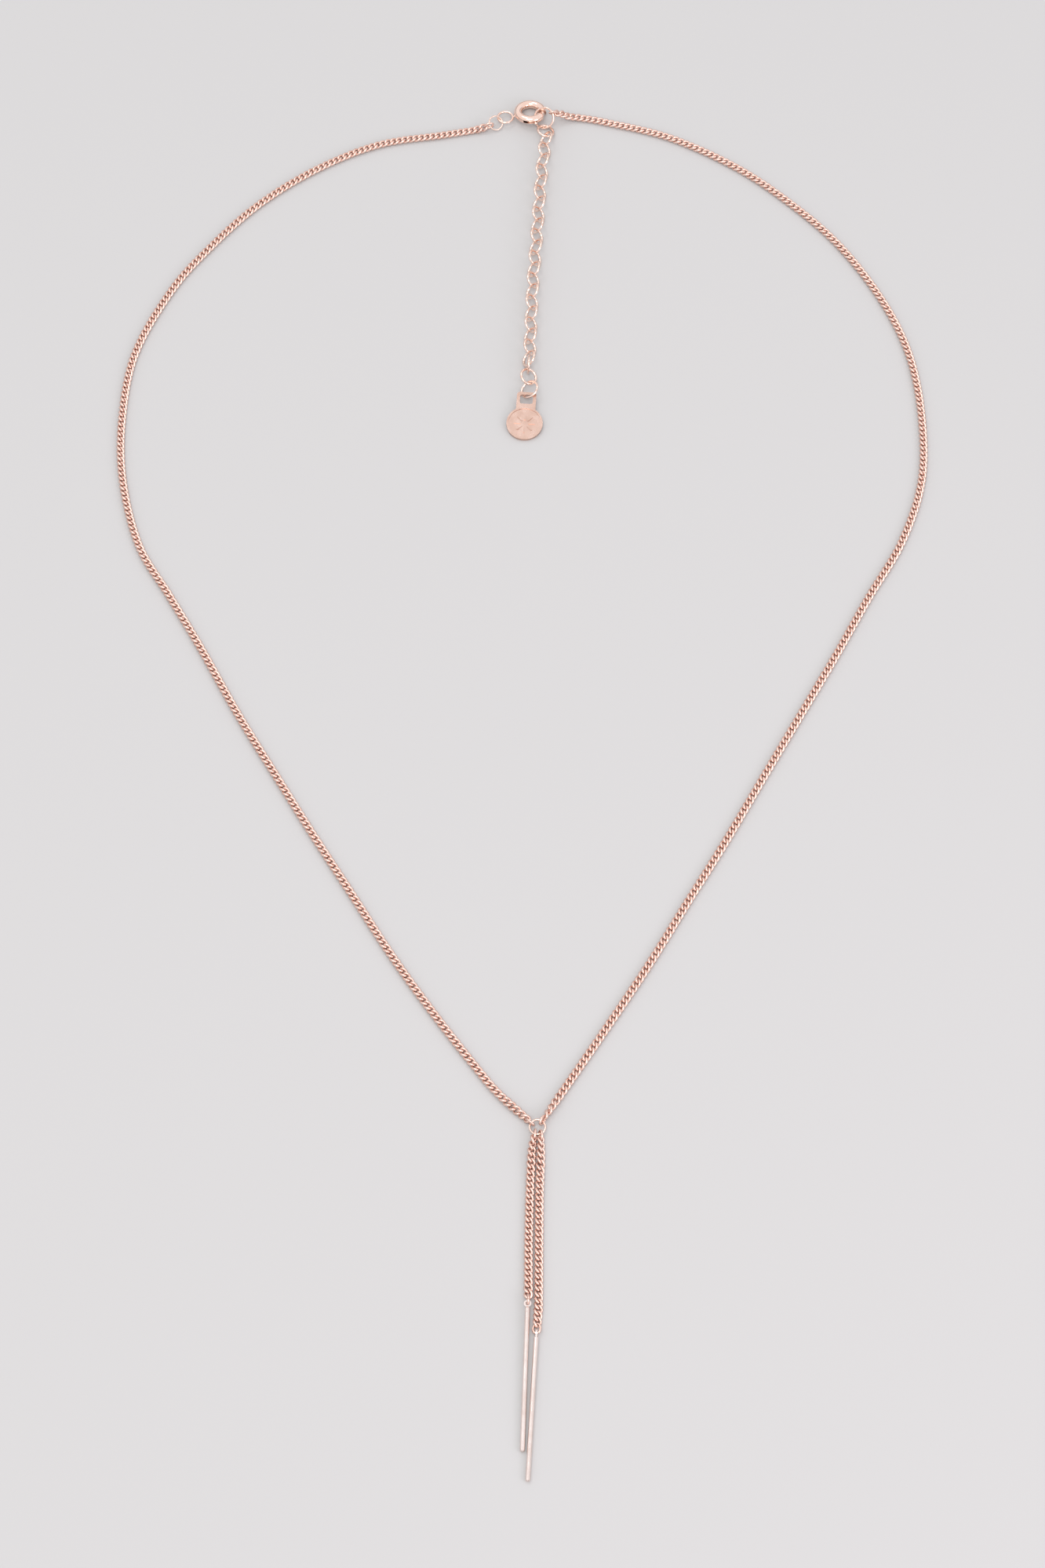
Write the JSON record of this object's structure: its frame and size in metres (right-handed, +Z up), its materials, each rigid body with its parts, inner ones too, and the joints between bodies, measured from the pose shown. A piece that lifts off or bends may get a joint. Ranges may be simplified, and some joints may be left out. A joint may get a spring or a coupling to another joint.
{
  "type": "y necklace",
  "caption": "Y necklace laid out flat: fine curb chain loop, two bar drops on curb chains, spring ring clasp and a ring-link extender with a small round tag.",
  "frame": {"origin": "middle of the bounding box's underside, on the surface that the necklace lies on", "axes": "+Z up from the surface, +Y from the bar drops to the clasp, +X to the right of the necklace seen from above"},
  "size_m": [0.1244, 0.2315, 0.003],
  "materials": {
    "rose_gold_chain": "polished rose gold plating on the curb links",
    "rose_gold_wire": "polished rose gold plating on rings and clasp",
    "rose_gold_plate": "polished rose gold plating on the tag and bars"
  },
  "bodies": {
    "necklace": {"left_chain": "rose_gold_chain", "right_chain": "rose_gold_chain", "clasp_body": "rose_gold_wire", "clasp_jump_ring": "rose_gold_wire", "end_ring": "rose_gold_wire", "extender_link_1": "rose_gold_wire", "extender_link_2": "rose_gold_wire", "extender_link_3": "rose_gold_wire", "extender_link_4": "rose_gold_wire", "extender_link_5": "rose_gold_wire", "extender_link_6": "rose_gold_wire", "extender_link_7": "rose_gold_wire", "extender_link_8": "rose_gold_wire", "extender_link_9": "rose_gold_wire", "extender_link_10": "rose_gold_wire", "extender_link_11": "rose_gold_wire", "extender_link_12": "rose_gold_wire", "extender_link_13": "rose_gold_wire", "extender_link_14": "rose_gold_wire", "extender_link_15": "rose_gold_wire", "extender_link_16": "rose_gold_wire", "extender_link_17": "rose_gold_wire", "extender_link_18": "rose_gold_wire", "extender_link_19": "rose_gold_wire", "extender_link_20": "rose_gold_wire", "extender_link_21": "rose_gold_wire", "extender_link_22": "rose_gold_wire", "extender_link_23": "rose_gold_wire", "extender_link_24": "rose_gold_wire", "tag_ring": "rose_gold_wire", "tag": "rose_gold_plate", "centre_ring": "rose_gold_wire", "left_drop_chain": "rose_gold_chain", "right_drop_chain": "rose_gold_chain", "left_bar": "rose_gold_plate", "right_bar": "rose_gold_plate"},
    "bolt": {"clasp_bolt": "rose_gold_wire"}
  },
  "joints": [
    {"name": "clasp_slide", "type": "hinge", "parent": "necklace", "child": "bolt", "pos_m": [0.00133, 0.11303, 0.00109], "axis": [0, -0.225, -0.9744], "range_deg": [0, 36], "stiffness_Nm_per_rad": 0.008, "springref_deg": -5.73}
  ]
}
